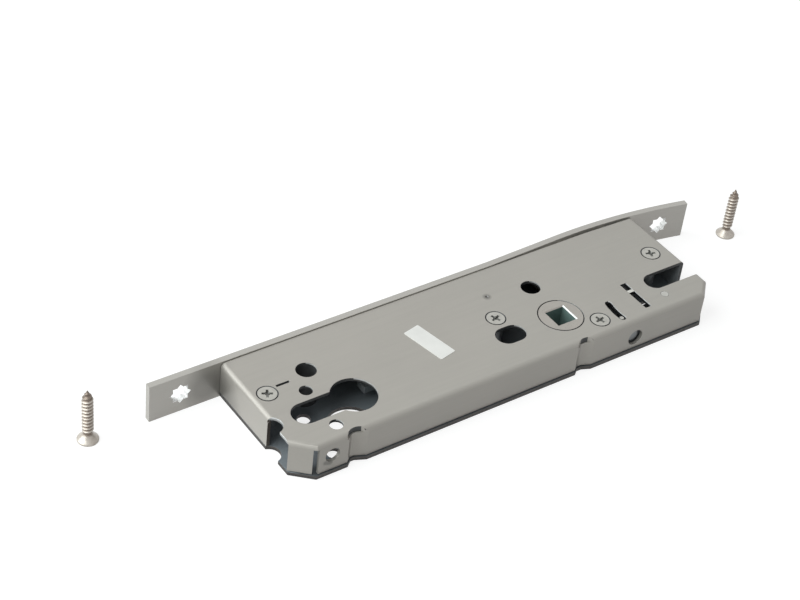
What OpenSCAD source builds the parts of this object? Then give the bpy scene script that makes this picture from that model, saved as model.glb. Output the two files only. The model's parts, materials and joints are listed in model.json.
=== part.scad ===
// Narrow mortice lock for a profile cylinder, lying on its back plate.
// The origin is on the cylinder's axis, at the underside of the back plate.
// +X runs along the case from the cylinder to the handle's follower.
// +Y points out of the door's edge, through the forend, and +Z points up through both plates.

/* [Case] */
// Distance between the cylinder's axis and the follower's axis
centres = 92; // [90:0.5:96]
// Distance from both axes to the forend's outer face
backset = 38.5; // [37.5:0.5:42]
// Distance from the near wall to both axes
axis_in = 16.2; // [15.8:0.1:18]
// Distance from the cylinder's axis to the left end
case_left = 32.5; // [31.5:0.5:36]
// Distance from the follower's axis to the right end
case_right = 64; // [63:0.5:68]
// Thickness of the closed case
case_t = 15; // [14.8:0.1:16.5]
// Thickness of the pressed cover's sheet
cover_t = 1.3; // [1:0.1:1.6]
// Thickness of the back plate
base_t = 1.5; // [1.2:0.1:1.8]
// Outer radius of the cover's bends
bend_r = 2; // [1.4:0.1:2.6]
// Gap between the ends of the cover's walls and the back plate
wall_gap = 0.25; // [0.1:0.05:0.4]
// Left near corner's chamfer, along the case
left_chamfer_x = 7.45; // [6:0.25:9]
// Left near corner's chamfer, across the case
left_chamfer_y = 6.7; // [5:0.25:8]
// Right near corner's chamfer, along the case
right_chamfer_x = 6.25; // [3:0.25:7]
// Right near corner's chamfer, across the case
right_chamfer_y = 6.25; // [4.5:0.25:7]
// Width of the slit beside the left chamfer's flange
corner_slit = 2; // [0.8:0.1:2.2]
// How far the open edge draws in at the right end, under the bent forend
edge_draw = 0.9; // [0.8:0.05:1.4]
// Depth of the left joggle in the near wall
left_joggle = 1.8; // [1:0.1:2.2]
// Depth of the right joggle in the near wall
right_joggle = 1.4; // [1:0.1:1.8]
// Radius of the bite in the left end, for a through bolt
bite_r = 4.2; // [3.5:0.1:4.6]
// Distance from the left end out to the bite's centre
bite_out = 1; // [0.5:0.1:2]
// Width of the notch in the right end, for a through bolt
notch_w = 8.5; // [7:0.1:9]
// Distance from the follower's axis to the notch's inner end
notch_x = 41; // [41:0.1:44]
// How far the notch lies off the line of the axes
notch_y = -0.8; // [-1.2:0.1:0]

/* [Cylinder and handle holes] */
// Diameter of the opening for the cylinder's round part
euro_d = 17.2; // [17:0.1:18]
// Width of the opening for the cylinder's flat part
euro_w = 10.5; // [10:0.1:11]
// Overall height of the cylinder's opening
euro_h = 33.7; // [32:0.1:34]
// Diameter of the handle plate's hole beside the cylinder
plate_hole_d = 7.7; // [6:0.1:8]
// Distance of that hole from the line of the axes
plate_hole_y = 18.9; // [18:0.1:19.5]
// Diameter of the two holes beside the cylinder's flat part
pair_d = 5; // [4:0.1:5.5]
// Distance between those two holes
pair_gap = 19.6; // [18:0.1:20]
// Diameter of the handle rose's hole beside the follower
rose_hole_d = 7.7; // [6:0.1:8]
// Distance of that hole from the line of the axes
rose_hole_y = 18.6; // [18:0.1:19.5]
// Length of the oblong hole between cylinder and follower
oblong_l = 12.4; // [9:0.1:13]
// Width of the oblong hole
oblong_w = 8.9; // [7:0.1:9]
// Diameter of the near wall's left hole
wall_hole_d = 5.8; // [5:0.1:6.6]
// Height of the near wall's left hole above the case's middle
wall_hole_up = 0.8; // [-0.5:0.1:1.5]

/* [Forend] */
// Length of the forend
forend_l = 243.1; // [238:0.1:250]
// Width of the forend
forend_w = 16; // [15.6:0.1:18]
// Thickness of the forend
forend_t = 2.5; // [2:0.1:3]
// Distance from the cylinder's axis to the forend's left end
forend_left = 60.7; // [58:0.1:64]
// Distance from the forend's left end to the left fixing hole
fixing_in_left = 12.3; // [9:0.1:14]
// Distance from the forend's right end to the right fixing hole
fixing_in_right = 12.3; // [9:0.1:14]
// Tip radius of the star-shaped fixing holes
star_tip_r = 4.2; // [4:0.1:4.6]
// Root radius of the star-shaped fixing holes
star_root_r = 3.1; // [2.6:0.1:3.4]
// How far the forend bows out before its bent end
bow = 1.1; // [0.9:0.05:1.15]
// Distance from the follower's axis to the top of the bow
bow_x = 35; // [33:0.5:37]
// Slope at which the forend rises to the bow, in degrees
bow_slope = 1.7; // [1.5:0.1:2]
// Radius of the forend's bent end
end_bend_r = 265; // [255:1:300]
// Diameter of the hole for the cylinder's screw
cylinder_screw_d = 5.2; // [5:0.1:5.4]

/* [Follower] */
// Width of the square for the handle's spindle
square_w = 8.2; // [8:0.1:8.4]
// Diameter of the follower's ends, which turn in the plates
follower_d = 17.7; // [16:0.1:18]
// Radial clearance of pieces that turn in each other
turn_gap = 0.07; // [0.05:0.01:0.09]
// Diameter of the follower's hub between the plates
hub_d = 20.2; // [20:0.1:20.6]
// Angle that the follower turns through
follower_turn = 24; // [22:0.5:24]
// Distance from the follower's axis to its drive pin
arm_r = 20; // [19.8:0.05:20.2]
// Diameter of the drive pin
drive_pin_d = 3; // [2.4:0.1:3.2]

/* [Latch] */
// Distance from the follower's axis to the latch's axis
latch_x = 24.6; // [24.4:0.1:25.2]
// Width of the latch head, along the case
latch_w = 24; // [20:0.5:24.5]
// Thickness of both bolt heads
bolt_t = 10.6; // [9:0.1:10.8]
// Length of the latch head
latch_l = 22; // [21:0.1:22.4]
// Length of the latch head's bevel
latch_bevel = 9; // [7:0.1:10]
// Clearance of both bolts in their windows
window_gap = 0.2; // [0.1:0.05:0.4]
// Diameter of the latch rod
rod_d = 5.2; // [4.4:0.1:5.3]
// How far the latch rod lies below the case's middle
rod_drop = 0.9; // [0.8:0.05:1]
// Gap between the latch rod's end and the near wall's outer face
rod_end_gap = 1.5; // [1.3:0.1:2]
// Diameter of the near wall's hole in front of the rod
rod_hole_d = 6.6; // [6:0.1:7]
// Wire diameter of the latch spring
spring_wire = 0.7; // [0.5:0.05:0.8]
// Turns of the latch spring
spring_turns = 7; // [5:1:7]

/* [Swing lever] */
// Distance from the follower's axis to the swing lever's rivet, along the case
lever_x = 43.6; // [43.4:0.1:44]
// Place of the swing lever's rivet across the case
lever_y = -8.7; // [-9:0.1:-8.6]
// Distance from the rivet to the lever's pin
lever_r = 23.8; // [23.7:0.05:24]
// Angle that the lever hangs towards the near wall at rest
lever_rest = 7.3; // [6.8:0.1:7.6]
// Diameter of the lever's pin in the arc slot
lever_pin_d = 1.7; // [1.4:0.1:1.8]
// Width of the arc slot and of the straight slot
slot_w = 2.8; // [2.2:0.1:3]

/* [Dead bolt] */
// Distance from the cylinder's axis to the dead bolt's near side
dead_x = 16; // [15.5:0.5:18]
// Width of the dead bolt, along the case
dead_w = 30; // [26:0.5:31]
// Length of the dead bolt's head
dead_l = 26; // [24:0.5:27]
// Travel of the dead bolt
dead_throw = 14; // [12:0.5:14.5]
// Thickness of the dead bolt's tail plate
tail_t = 3; // [2.5:0.1:3.4]
// Diameter of the studs that guide the tail
stud_d = 5; // [4:0.1:5.4]

/* [Screws and label] */
// Head diameter of the case screws
case_head_d = 7.4; // [6.6:0.1:7.8]
// Shank diameter of the case screws
case_screw_d = 3.9; // [3:0.1:4]
// Diameter of the pillars that the case screws thread in
pillar_d = 6.6; // [6.2:0.1:7]
// Head diameter of the loose fixing screws
fixing_head_d = 7.8; // [7:0.1:8.4]
// Length of the loose fixing screws
fixing_l = 22.7; // [20:0.1:26]
// Thread diameter of the loose fixing screws
fixing_thread_d = 4.3; // [3.9:0.1:4.6]
// Width of the blank label
label_w = 7.4; // [6:0.1:9]
// Length of the blank label
label_l = 18.8; // [15:0.1:20]

/* [Hidden] */
$fn = 64;
zinc = [0.70, 0.69, 0.66];
steel = [0.60, 0.60, 0.60];
bright = [0.80, 0.81, 0.83];
spring_steel = [0.45, 0.46, 0.48];
cast = [0.66, 0.64, 0.58];

// Overlap of solids that are joined, how far cuts run past a face, and the gap to a face nearby
eps = 0.01;
cut = 1;
face_gap = 0.1;

// The case's edges seen from above, and its levels
left = -case_left;
right = centres + case_right;
near = -axis_in;
forend_back = backset - forend_t;
far = forend_back - 0.2;
draw_start = right - 24;
mid_z = case_t / 2;
under_top = case_t - cover_t;
wall_bottom = base_t + wall_gap;
inside_h = under_top - base_t;

// Where each joggle of the near wall begins, is deepest and ends
left_joggle_x = [for (x = [20.3, 22.5, 24, 28.2]) left + x];
right_joggle_x = [for (x = [-3.7, -1.9, 0.3, 3.7]) centres + x];
function joggle(xs, depth) = [for (i = [0:3]) [xs[i], near + (i == 1 || i == 2 ? depth : 0)]];

// Radius of the relief slits over the joggles, and the point of each that lies furthest inwards
slit_r = 4.4;
slit_top = [[left + 23.35, near + left_joggle + 0.5], [centres - 0.4, near + right_joggle + 0.4]];

near_left = [[left, near + left_chamfer_y], [left + left_chamfer_x, near]];
near_right = [[right - right_chamfer_x, near], [right, near + right_chamfer_y]];
far_edge = [[right, far - edge_draw], [draw_start, far], [left, far]];
plate_outline = concat(near_left, near_right, far_edge);
wall_outline = concat(near_left, joggle(left_joggle_x, left_joggle),
    joggle(right_joggle_x, right_joggle), near_right, far_edge);

// The back plate's outline, which stands out past the near wall
base_ledge = 0.6;
base_outline = [for (p = wall_outline) p.y < 0 ? p - [0, base_ledge] : p];

// Outline moved inwards by d, its points given anticlockwise
function unit(v) = v / norm(v);
function inward(a, b) = let (u = unit(b - a)) [-u.y, u.x];
function inset_point(p, q, r, d) = let (m = inward(p, q), n = inward(q, r))
    q + d * (m + n) / (1 + m * n);
function inset(pts, d) = let (n = len(pts))
    [for (i = [0:n - 1]) inset_point(pts[(i + n - 1) % n], pts[i], pts[(i + 1) % n], d)];

// Screws: a crosshead of this width and depth, a tip chamfer, and the gaps round head and shank
recess_w = 4;
recess_depth = 1.2;
tip_chamfer = 0.5;
head_gap = 0.3;
shank_gap = 0.2;
thread_gap = 0.05;
case_screw_l = 8;
case_screw_at = [[left + 6.3, 14.8], [centres - 22.7, 10.2], [centres + 11.7, -8.95],
    [right - 8.7, 13.5]];
case_screw_turn = [62, 20, 12, 70];
pillar_step = 0.8;
spigot_d = 2.4;

// The loose fixing screws, which stand beside the case, and the shape of their thread
loose_left_at = [left - 50.6, near + 54.5];
loose_right_at = [right + 43.3, near + 39.4];
fixing_recess_w = 4.2;
fixing_recess_depth = 1.8;
fixing_rim = 0.7;
fixing_tip_l = 4;
fixing_tip_r = 0.15;
thread_h = 0.65;
thread_pitch = 1.5;
thread_crest = 0.1;
thread_start = 0.6;

// Holes and marks of the plates
bite_y = 0.2;
bite_wall_end = near + 20.2;
pair_x = -13.6;
plate_hole_x = -7.8;
plate_sleeve_t = 0.8;
oblong_x = centres - 23.25;
oblong_y = 0.1;
wall_hole_x = left + 13.9;
slot_x = centres + 33;
slot_near = -11.8;
slot_far = 3.6;
lanced_at = [left + 10.9, far - 19.7];
lanced_size = [5.5, 1];
dimple_at = [centres - 18.2, 21.8];
dimple_r = 0.6;
dimple_depth = 0.3;
label_at = [39.6, 10.6];
label_turn = 12;
label_t = 0.1;

// The forend seen from above: points of its outer face, each with its direction
forend_bottom = mid_z - forend_w / 2;
forend_right = forend_l - forend_left;
fixing_x = [fixing_in_left - forend_left, forend_right - fixing_in_right];
bow_top_x = centres + bow_x;
tangent_x = bow_top_x - end_bend_r * sin(bow_slope);
tangent_y = bow - end_bend_r * (1 - cos(bow_slope));
bow_start_x = tangent_x - tangent_y / tan(bow_slope);
end_slope = -asin((forend_right - bow_top_x) / end_bend_r);
bend_steps = 24;
function bend_point(a) =
    [bow_top_x - end_bend_r * sin(a), backset + bow - end_bend_r * (1 - cos(a)), a];
forend_line = concat([[-forend_left, backset, 0], [bow_start_x, backset, 0]],
    [for (i = [0:bend_steps]) bend_point(bow_slope + (end_slope - bow_slope) * i / bend_steps)]);
function outer_face(p) = [p.x, p.y];
function inner_face(p) = [p.x + forend_t * sin(p[2]), p.y - forend_t * cos(p[2])];
function reversed(v) = [for (i = [len(v) - 1:-1:0]) v[i]];

// The back plate's flange, which the forend is screwed to
flange_t = 1.5;
flange_left = left + cover_t + 0.2;
flange_right = right - 12.5;
flange_top = under_top - face_gap;
forend_screw_x = [-20, centres - 14];
forend_screw_d = 4;
forend_head_d = 7.4;
forend_screw_l = 6;
cylinder_sink = 2.6;
star_points = 8;

// The follower, its arm and its drive pin
follower_chamfer = 0.4;
square_chamfer = 0.4;
hub_gap = 0.2;
hub_flat = hub_d / 2 - 0.8;
arm_t = 2;
arm_z = under_top - arm_t - 1.1;
arm_w = 4.4;
arm_eye_r = 2.8;
arm_rest = -follower_turn / 2;
drive_pin_at = [centres, 0] + arm_r * [cos(arm_rest), sin(arm_rest)];

// The latch's travel follows from the follower's turn
latch_throw = 2 * arm_r * sin(follower_turn / 2);
latch_front = backset + 0.2;
latch_back = latch_front - latch_l;
latch_axis = centres + latch_x;
latch_tip = 2.4;
bolt_z = mid_z - bolt_t / 2;
rod_z = mid_z - rod_drop;
rod_socket = 9;
rod_pin_d = 2;
rod_pin_at = [latch_axis, latch_back + 5];
carriage_t = 1.8;
carriage_z = base_t + 0.3;
carriage_left = centres + 16.4;
carriage_back = near + cover_t + 0.9;
lug_w = 8;
lug_t = 2;
lug_y = 0;
lug_gap = 0.3;
pin_play = 0.15;
slot_play = 0.2;
coil_gap = 0.35;

// The swing lever, with its angle when the latch is thrown
lever_thrown = asin((latch_throw - lever_r * sin(lever_rest)) / lever_r);
lever_at = [centres + lever_x, lever_y];
lever_pin_at = lever_at - lever_r * [cos(lever_rest), sin(lever_rest)];
lever_eye_r = 3.2;
lever_tip_r = 2.3;
lever_w = 4.4;
lever_lower_d = 2.2;
arc_extra = 0.6;
pivot_d = 3.8;
pivot_head_d = 3.2;
pivot_collar_d = 5.6;

// The fixed bracket beside the latch, whose tab fills a short stretch of the straight slot
guide_t = 2;
guide_y = [-3, 7];
guide_foot = 5;
guide_tab_y = -1.15;
guide_tab_l = 1.5;

// The dead bolt, its tail and the detent that holds it
dead_back = backset - 0.1 - dead_l;
tail_z = mid_z - 0.4 - tail_t / 2;
tail_left = 9.8;
tail_right = dead_x + dead_w + 6;
tail_back = near + cover_t + 0.6;
tail_front = dead_back + 6;
cam_notch = [7, 14];
rivet_d = 3;
rivet_at = [for (x = [8, dead_w - 8]) [dead_x + x, tail_front - 3]];
detent_y = 4;
detent_r = 1.6;
detent_depth = 0.8;

// Studs and posts that are riveted in the back plate
stud_at = [[dead_x + 7, 4], [dead_x + dead_w - 3, 4]];
stud_collar = 3;
stud_play = 0.1;
carriage_stud_at = [latch_axis + 0.9, -3];
carriage_stud_d = 3.2;
carriage_stud_h = 2.3;
leaf_t = 0.5;
leaf_gap = 0.05;
leaf_l = 20;
post_d = 2.9;
follower_post_back = 14.5;
detent_post_in = 5;
hook_r = post_d / 2 + leaf_gap;
leaf_y = -hub_flat - leaf_gap - leaf_t;
detent_x = tail_right + leaf_gap + detent_r - detent_depth;
follower_post = [centres - follower_post_back, leaf_y - hook_r];
detent_post = [detent_x + leaf_t + hook_r, near + detent_post_in];

module at_each(places) {
    for (p = places) translate(p) children();
}

// A hole or shaft that starts at height z
module post(at, d, z, h) {
    translate([at.x, at.y, z]) cylinder(d = d, h = h);
}

// A flat strip of width w from a to b
module flat_bar(a, b, w) {
    d = b - a;
    translate(a) rotate(atan2(d.y, d.x)) translate([0, -w / 2]) square([norm(d), w]);
}

// A hole through the top plate, the back plate, the near wall or the forend
module top_hole(at, d) {
    post(at, d, under_top - cut, cover_t + 2 * cut);
}

module base_hole(at, d) {
    post(at, d, -cut, base_t + 2 * cut);
}

module near_wall_hole(x, z, d) {
    translate([x, near + 3 * cover_t, z]) rotate([90, 0, 0]) cylinder(d = d, h = 6 * cover_t);
}

module forend_hole(x, d) {
    translate([x, backset + cut, mid_z]) rotate([90, 0, 0]) cylinder(d = d, h = 3 * flange_t + forend_t);
}

// An oblong hole along X
module oblong(l, w, h) {
    for (s = [-1, 1]) translate([s * (l - w) / 2, 0, 0]) cylinder(d = w, h = h);
    translate([-(l - w) / 2, -w / 2, 0]) cube([l - w, w, h]);
}

// The profile cylinder's opening
module euro_cut(h) {
    end_x = (euro_d + euro_w) / 2 - euro_h;
    cylinder(d = euro_d, h = h);
    translate([end_x, 0, 0]) cylinder(d = euro_w, h = h);
    translate([end_x, -euro_w / 2, 0]) cube([-end_x, euro_w, h]);
}

// All the openings that both plates share
module shared_cuts(z, h) {
    translate([0, 0, z]) {
        euro_cut(h);
        for (s = [-1, 1]) translate([pair_x, s * pair_gap / 2, 0]) cylinder(d = pair_d, h = h);
        translate([plate_hole_x, plate_hole_y, 0]) cylinder(d = plate_hole_d, h = h);
        translate([centres, rose_hole_y, 0]) cylinder(d = rose_hole_d, h = h);
        translate([centres, 0, 0]) cylinder(d = follower_d + 2 * turn_gap, h = h);
        translate([oblong_x, oblong_y, 0]) oblong(oblong_l, oblong_w, h);
        translate([left - bite_out, bite_y, 0]) cylinder(r = bite_r, h = h);
        translate([centres + notch_x + notch_w / 2, notch_y, 0]) {
            cylinder(d = notch_w, h = h);
            translate([0, -notch_w / 2, 0]) cube([case_right, notch_w, h]);
        }
    }
}

// What is cut from the outer edge so that the sheet's bend is round. The circle reaches a little past
// both faces, because a cut that only touches them leaves torn edges.
module round_bend(a, b) {
    d = b - a;
    translate([a.x, a.y, case_t]) rotate([0, 0, atan2(d.y, d.x)]) translate([-cut, 0, 0])
        rotate([90, 0, 90]) linear_extrude(norm(d) + 2 * cut) difference() {
            translate([-cut, -bend_r]) square(bend_r + cut);
            translate([bend_r, -bend_r]) circle(bend_r + eps);
        }
}

// A slot of width w along a circle of radius r, from one angle to another
module arc_slot(r, from, to, w, h) {
    intersection() {
        difference() {
            cylinder(r = r + w / 2, h = h, $fn = 128);
            translate([0, 0, -cut]) cylinder(r = r - w / 2, h = h + 2 * cut, $fn = 128);
        }
        linear_extrude(h) polygon(2 * r * [[0, 0], [cos(from), sin(from)], [cos(to), sin(to)]]);
    }
    for (t = [from, to]) translate(r * [cos(t), sin(t)]) cylinder(d = w, h = h);
}

// A slot along Y for a fixed stud, in a plate that moves by travel
module travel_slot(at, d, travel, h) {
    w = d + 2 * stud_play;
    translate(at) {
        cylinder(d = w, h = h);
        translate([0, -travel, 0]) cylinder(d = w, h = h);
        translate([-w / 2, -travel, 0]) cube([w, travel, h]);
    }
}

// A slot along X for a pin of diameter d that moves between x1 and x2
module cross_slot(x1, x2, y, d, h) {
    w = d + 2 * pin_play;
    translate([x1 - w / 2 - slot_play / 2, y - w / 2, 0]) cube([x2 - x1 + w + slot_play, w, h]);
}

// Crosshead recess, its top at z = 0
module crosshead(size, depth) {
    arm = size * 0.24;
    for (t = [0, 90]) rotate([0, 0, t]) translate([-size / 2, -arm / 2, -depth])
        cube([size, arm, depth + cut]);
    translate([0, 0, -depth]) cylinder(d1 = arm * 1.1, d2 = arm * 2.2, h = depth + eps);
}

// A countersink that opens upwards from z = 0, with its clearance hole below
module countersink(head_d, hole_d) {
    drop = (head_d - hole_d) / 2;
    translate([0, 0, -drop]) cylinder(d1 = hole_d, d2 = head_d, h = drop + eps);
    translate([0, 0, -case_t / 4]) cylinder(d = hole_d, h = case_t / 4);
    cylinder(d = head_d, h = cut);
}

// A countersunk machine screw that hangs down from z = 0
module machine_screw(head_d, d, l) {
    difference() {
        rotate_extrude() polygon([[0, 0], [head_d / 2, 0], [d / 2, (d - head_d) / 2],
            [d / 2, tip_chamfer - l], [d / 2 - tip_chamfer, -l], [0, -l]]);
        crosshead(recess_w, recess_depth);
    }
}

// The two bolts' windows, through forend or flange
module bolt_windows(y, depth) {
    h = bolt_t + 2 * window_gap;
    for (w = [[dead_x, dead_w], [latch_axis - latch_w / 2, latch_w]])
        translate([w[0] - window_gap, y, bolt_z - window_gap]) cube([w[1] + 2 * window_gap, depth, h]);
}

module case_tray() {
    color(zinc) difference() {
        translate([0, 0, wall_bottom]) linear_extrude(case_t - wall_bottom) polygon(plate_outline);
        tray_hollow();
        for (i = [0:3]) round_bend(plate_outline[i], plate_outline[i + 1]);
        round_bend(plate_outline[len(plate_outline) - 1], [left, bite_y]);
        shared_cuts(under_top - cut, cover_t + 2 * cut);
        wall_cuts();
        top_marks();
        top_hole(lever_at, pivot_head_d);
        at_each(case_screw_at) translate([0, 0, case_t])
            countersink(case_head_d + 2 * head_gap, case_screw_d + 2 * shank_gap);
    }
}

// The space inside the tray's walls, open towards the forend, and the joggles outside the near wall
module tray_hollow() {
    translate([0, 0, -cut]) linear_extrude(under_top + cut) {
        polygon(inset(wall_outline, cover_t));
        translate([left + cover_t, far - 3 * cover_t])
            square([right - left - 2 * cover_t, 6 * cover_t]);
        joggle_outside(left_joggle_x, left_joggle);
        joggle_outside(right_joggle_x, right_joggle);
    }
}

module joggle_outside(xs, depth) {
    polygon(concat([[xs[0], near - cut]], joggle(xs, depth), [[xs[3], near - cut]]));
}

// Openings in the walls from the left corner past the bite, at the notch and beside the left
// chamfer's flange, and the near wall's holes
module wall_cuts() {
    corner = near_left[0];
    flange_end = corner + 3 * cover_t * inward(near_left[0], near_left[1]);
    translate([0, 0, -cut]) linear_extrude(under_top + cut) polygon([corner, flange_end,
        [left + 2 * cover_t, bite_wall_end], [left - cut, bite_wall_end], [left - cut, corner.y]]);
    translate([right - 2 * cover_t, notch_y - notch_w / 2, -cut]) cube([4 * cover_t, notch_w, case_t]);
    translate([left + left_chamfer_x - corner_slit / 2, near - cut, -cut])
        cube([corner_slit, cover_t + 2 * cut, case_t - bend_r + cut]);
    near_wall_hole(wall_hole_x, mid_z + wall_hole_up, wall_hole_d);
    near_wall_hole(latch_axis, rod_z, rod_hole_d);
}

// Slots, relief slits and press marks of the top plate
module top_marks() {
    through = cover_t + 2 * cut;
    for (p = slit_top) top_hole(p - [0, slit_r], 2 * slit_r);
    translate([lever_at.x, lever_at.y, under_top - cut])
        arc_slot(lever_r, 180 + lever_rest + arc_extra, 180 - lever_thrown - arc_extra, slot_w, through);
    translate([slot_x - slot_w / 2, slot_near, under_top - cut])
        cube([slot_w, slot_far - slot_near, through]);
    translate([lanced_at.x, lanced_at.y, under_top - cut]) cube([lanced_size.x, lanced_size.y, through]);
    post(dimple_at, 2 * dimple_r, case_t - dimple_depth, cut);
}

module base_plate() {
    color(steel) difference() {
        union() {
            linear_extrude(base_t) polygon(base_outline);
            translate([flange_left, forend_back - flange_t, 0])
                cube([flange_right - flange_left, flange_t, flange_top]);
        }
        shared_cuts(-cut, base_t + 2 * cut);
        for (p = case_screw_at) base_hole(p, pillar_d - 2 * pillar_step);
        for (p = concat(stud_at, [carriage_stud_at, follower_post, detent_post])) base_hole(p, spigot_d);
        base_hole(lever_at, pivot_d);
        bolt_windows(forend_back - flange_t - cut, flange_t + 2 * cut);
        forend_hole(0, cylinder_screw_d);
        for (x = forend_screw_x) forend_hole(x, forend_screw_d);
    }
}

module forend() {
    back = [for (p = forend_line) inner_face(p)];
    front = [for (p = forend_line) outer_face(p)];
    color(bright) difference() {
        translate([0, 0, forend_bottom]) linear_extrude(forend_w) polygon(concat(back, reversed(front)));
        bolt_windows(forend_back - cut, forend_t + bow + 2 * cut);
        for (x = fixing_x) star_hole(x);
        for (x = forend_screw_x) forend_countersink(x, forend_screw_d, forend_head_d);
        forend_countersink(0, cylinder_screw_d, cylinder_screw_d + cylinder_sink);
    }
}

module star_hole(x) {
    translate([x, backset + cut + bow, mid_z]) rotate([90, 0, 0]) linear_extrude(6 * forend_t)
        polygon([for (i = [0:2 * star_points - 1]) let (t = i * 180 / star_points)
            (i % 2 == 0 ? star_tip_r : star_root_r) * [cos(t), sin(t)]]);
}

module forend_countersink(x, hole_d, head_d) {
    forend_hole(x, hole_d);
    translate([x, backset + eps, mid_z]) rotate([90, 0, 0])
        cylinder(d1 = head_d, d2 = hole_d, h = (head_d - hole_d) / 2);
}

module forend_screws() {
    color(bright) for (x = forend_screw_x) translate([x, backset, mid_z]) rotate([-90, 0, 0])
        machine_screw(forend_head_d - 2 * head_gap, forend_screw_d - 2 * thread_gap, forend_screw_l);
}

module case_screws() {
    color(bright) for (i = [0:len(case_screw_at) - 1])
        translate([case_screw_at[i].x, case_screw_at[i].y, case_t]) rotate([0, 0, case_screw_turn[i]])
            machine_screw(case_head_d, case_screw_d, case_screw_l);
}

module pillars() {
    color(steel) at_each(case_screw_at) difference() {
        union() {
            translate([0, 0, base_t]) cylinder(d = pillar_d, h = inside_h);
            cylinder(d = pillar_d - 2 * pillar_step, h = base_t + eps);
        }
        translate([0, 0, case_t - case_screw_l - cut])
            cylinder(d = case_screw_d + 2 * thread_gap, h = case_screw_l);
        translate([0, 0, case_t]) countersink(case_head_d + 2 * head_gap, case_screw_d + 2 * thread_gap);
    }
}

// The sleeve between the plates, round the handle plate's hole
module plate_sleeve() {
    color(steel) translate([plate_hole_x, plate_hole_y, base_t]) difference() {
        cylinder(d = plate_hole_d + 2 * plate_sleeve_t, h = inside_h);
        translate([0, 0, -cut]) cylinder(d = plate_hole_d, h = case_t);
    }
}

module label() {
    color("white") translate([label_at.x, label_at.y, case_t]) rotate([0, 0, label_turn])
        translate([-label_w / 2, -label_l / 2, 0]) cube([label_w, label_l, label_t]);
}

module follower() {
    color(cast) difference() {
        union() {
            post([centres, 0], follower_d, face_gap, case_t - follower_chamfer - face_gap);
            translate([centres, 0, case_t - follower_chamfer - eps])
                cylinder(d1 = follower_d, d2 = follower_d - 2 * follower_chamfer, h = follower_chamfer + eps);
            follower_hub();
            translate([0, 0, arm_z]) linear_extrude(arm_t) {
                flat_bar([centres, 0], drive_pin_at, arm_w);
                translate(drive_pin_at) circle(arm_eye_r);
            }
        }
        translate([centres - square_w / 2, -square_w / 2, -cut]) cube([square_w, square_w, case_t + 2 * cut]);
        translate([centres, 0, face_gap]) square_mouth();
        translate([centres, 0, case_t]) mirror([0, 0, 1]) square_mouth();
        post(drive_pin_at, drive_pin_d, arm_z - cut, arm_t + 2 * cut);
    }
}

// The chamfer at an end of the square, which narrows upwards from z = 0
module square_mouth() {
    wide = square_w + 2 * (square_chamfer + eps);
    translate([0, 0, -eps]) rotate([0, 0, 45])
        cylinder(d1 = wide * sqrt(2), d2 = square_w * sqrt(2), h = square_chamfer + eps, $fn = 4);
}

// The hub between the plates, with two flats that the leaf spring rests on in turn
module follower_hub() {
    translate([centres, 0, base_t + hub_gap]) difference() {
        cylinder(d = hub_d, h = inside_h - 2 * hub_gap);
        for (t = [0, -follower_turn]) rotate([0, 0, t]) translate([-hub_d, -hub_flat - hub_d, -cut])
            cube([2 * hub_d, hub_d, case_t]);
    }
}

module drive_pin() {
    low = carriage_z + face_gap;
    color(bright) post(drive_pin_at, drive_pin_d, low, arm_z + arm_t - low);
}

// A leaf spring's hooked end round a post
module leaf_hook(h) {
    difference() {
        cylinder(r = hook_r + leaf_t, h = h);
        translate([0, 0, -cut]) cylinder(r = hook_r, h = h + 2 * cut);
    }
}

module follower_spring() {
    h = inside_h / 2;
    color(spring_steel) translate([0, 0, base_t + inside_h / 4]) {
        translate(follower_post) leaf_hook(h);
        translate([follower_post.x, leaf_y, 0]) cube([leaf_l, leaf_t, h]);
    }
}

module detent_spring() {
    h = tail_t + 2;
    color(spring_steel) translate([0, 0, tail_z - 1]) {
        translate(detent_post) leaf_hook(h);
        translate([detent_x, detent_post.y, 0]) cube([leaf_t, detent_y - detent_post.y, h]);
        translate([detent_x, detent_y, 0]) difference() {
            cylinder(r = detent_r, h = h);
            translate([0, 0, -cut]) cylinder(r = detent_r - leaf_t, h = h + 2 * cut);
            translate([leaf_t, -2 * detent_r, -cut]) cube([2 * detent_r, 4 * detent_r, h + 2 * cut]);
        }
    }
}

module spring_posts() {
    color(steel) at_each([follower_post, detent_post]) {
        cylinder(d = spigot_d, h = base_t + eps);
        translate([0, 0, base_t]) cylinder(d = post_d, h = inside_h - face_gap);
    }
}

module guide_studs() {
    color(steel) {
        at_each(stud_at) {
            cylinder(d = spigot_d, h = base_t + eps);
            translate([0, 0, base_t]) cylinder(d = stud_d + stud_collar, h = tail_z - base_t - stud_play);
            translate([0, 0, base_t]) cylinder(d = stud_d, h = inside_h - face_gap);
        }
        translate(carriage_stud_at) {
            cylinder(d = spigot_d, h = base_t + eps);
            translate([0, 0, base_t]) cylinder(d = carriage_stud_d, h = carriage_stud_h);
        }
    }
}

module latch_carriage() {
    plate_top = carriage_z + carriage_t;
    color(steel) difference() {
        union() {
            translate([carriage_left, carriage_back, carriage_z])
                cube([latch_axis + lug_w / 2 - carriage_left, lug_y + lug_t - carriage_back, carriage_t]);
            translate([latch_axis - lug_w / 2, lug_y, carriage_z])
                cube([lug_w, lug_t, arm_z - lug_gap - carriage_z]);
        }
        cross_slot(drive_pin_at.x, centres + arm_r, drive_pin_at.y, drive_pin_d, plate_top + eps);
        cross_slot(lever_at.x - lever_r, lever_at.x - lever_r * cos(lever_thrown), lever_pin_at.y,
            lever_lower_d, plate_top + eps);
        travel_slot(carriage_stud_at, carriage_stud_d, latch_throw, plate_top + eps);
        translate([latch_axis, lug_y - cut, rod_z]) rotate([-90, 0, 0])
            cylinder(d = rod_d + 2 * turn_gap, h = lug_t + 2 * cut);
    }
}

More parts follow.
